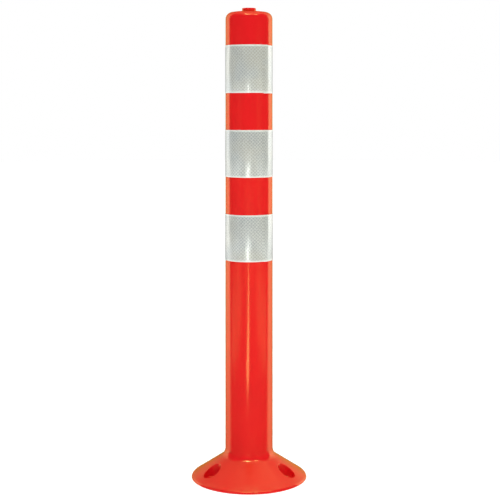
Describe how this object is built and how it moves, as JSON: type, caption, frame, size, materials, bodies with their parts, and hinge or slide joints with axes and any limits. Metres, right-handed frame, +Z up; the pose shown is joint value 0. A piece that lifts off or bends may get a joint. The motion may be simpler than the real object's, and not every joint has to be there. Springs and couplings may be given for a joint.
{
  "type": "delineator post",
  "caption": "Flexible traffic delineator: a hollow tapered post with wrapped reflective bands and a plugged crown on a flared bolt-down foot, which bends over when struck and springs back.",
  "frame": {"origin": "on the floor at the centre of the foot", "axes": "+Z up along the post, front of the post towards -Y, +X to the right seen from the front"},
  "size_m": [0.2008, 0.2008, 0.8054],
  "materials": {
    "moulding": "gloss",
    "plug": "gloss",
    "sheeting": "gloss"
  },
  "bodies": {
    "foot": {"foot_flange": "moulding"},
    "neck": {"flex_neck_lower": "moulding", "neck_ring": "moulding", "flex_neck_upper": "moulding"},
    "post": {"post_tube": "moulding", "top_plug": "plug", "reflective_band_upper": "sheeting", "reflective_band_middle": "sheeting", "reflective_band_lower": "sheeting"}
  },
  "joints": [
    {"name": "bend_fore_aft", "type": "hinge", "parent": "foot", "child": "neck", "pos_m": [0, 0, 0.125], "axis": [1, 0, 0], "range_deg": [-90, 90], "stiffness_Nm_per_rad": 60, "deforming": ["flex_neck_lower"]},
    {"name": "bend_sideways", "type": "hinge", "parent": "neck", "child": "post", "pos_m": [0, 0, 0.28], "axis": [0, 1, 0], "range_deg": [-90, 90], "stiffness_Nm_per_rad": 60, "deforming": ["flex_neck_upper"]}
  ]
}
